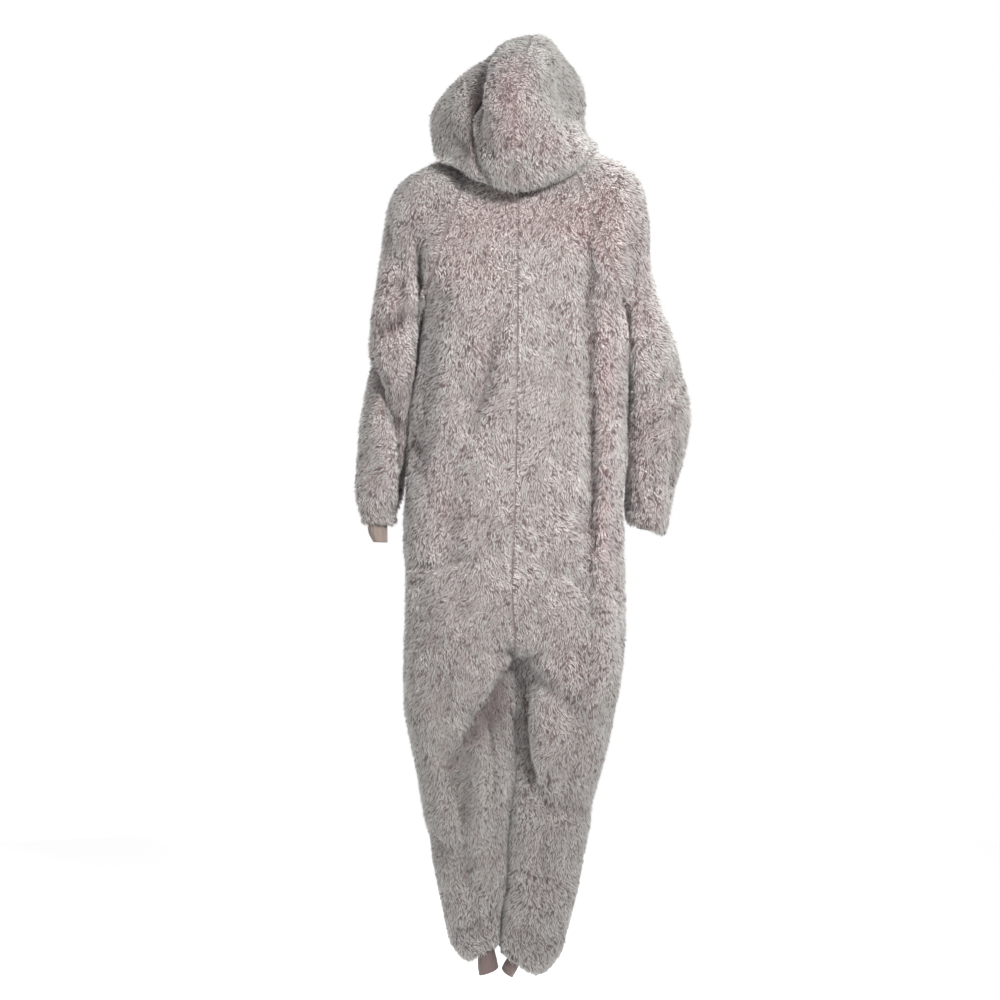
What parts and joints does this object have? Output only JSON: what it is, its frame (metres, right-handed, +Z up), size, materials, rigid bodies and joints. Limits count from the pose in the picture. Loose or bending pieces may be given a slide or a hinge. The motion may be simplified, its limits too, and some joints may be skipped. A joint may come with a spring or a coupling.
{
  "type": "hooded onesie pajama",
  "caption": "Hooded one-piece pajama in long-pile plush with raglan sleeves, knitted wrist and ankle cuffs and a front zip, holding the hollow shape of its wearer.",
  "frame": {"origin": "middle of the shoulder line, inside the neck, where the wearer's shoulders carry the garment", "axes": "+Z up, +Y towards the garment's back, +X towards the wearer's left hand"},
  "size_m": [0.582, 0.2979, 1.6754],
  "materials": {
    "plush": "long-pile knitted polyester plush, mauve-brown at the roots with frosted grey-cream tips",
    "jersey": "double-layer ribbed knit, dusty beige-pink, matt",
    "zip_tape": "woven polyester tape, mauve-taupe, matt",
    "zip_metal": "die-cast zinc with a satin nickel plate"
  },
  "bodies": {
    "garment": {"back_left": "plush", "back_right": "plush", "front_left": "plush", "front_right": "plush", "sleeve_left": "plush", "sleeve_right": "plush", "hood_left": "plush", "hood_right": "plush", "wrist_cuff_left": "jersey", "wrist_cuff_right": "jersey", "ankle_cuff_left": "jersey", "ankle_cuff_right": "jersey", "zip_tape_left": "zip_tape", "zip_tape_right": "zip_tape", "zip_slider": "zip_metal"},
    "zip_pull": {"zip_pull": "zip_metal"}
  },
  "joints": [
    {"name": "pull_swing", "type": "hinge", "parent": "garment", "child": "zip_pull", "pos_m": [-0.002, -0.08, -0.03586], "axis": [-1, 0, 0], "range_deg": [0, 170]}
  ]
}
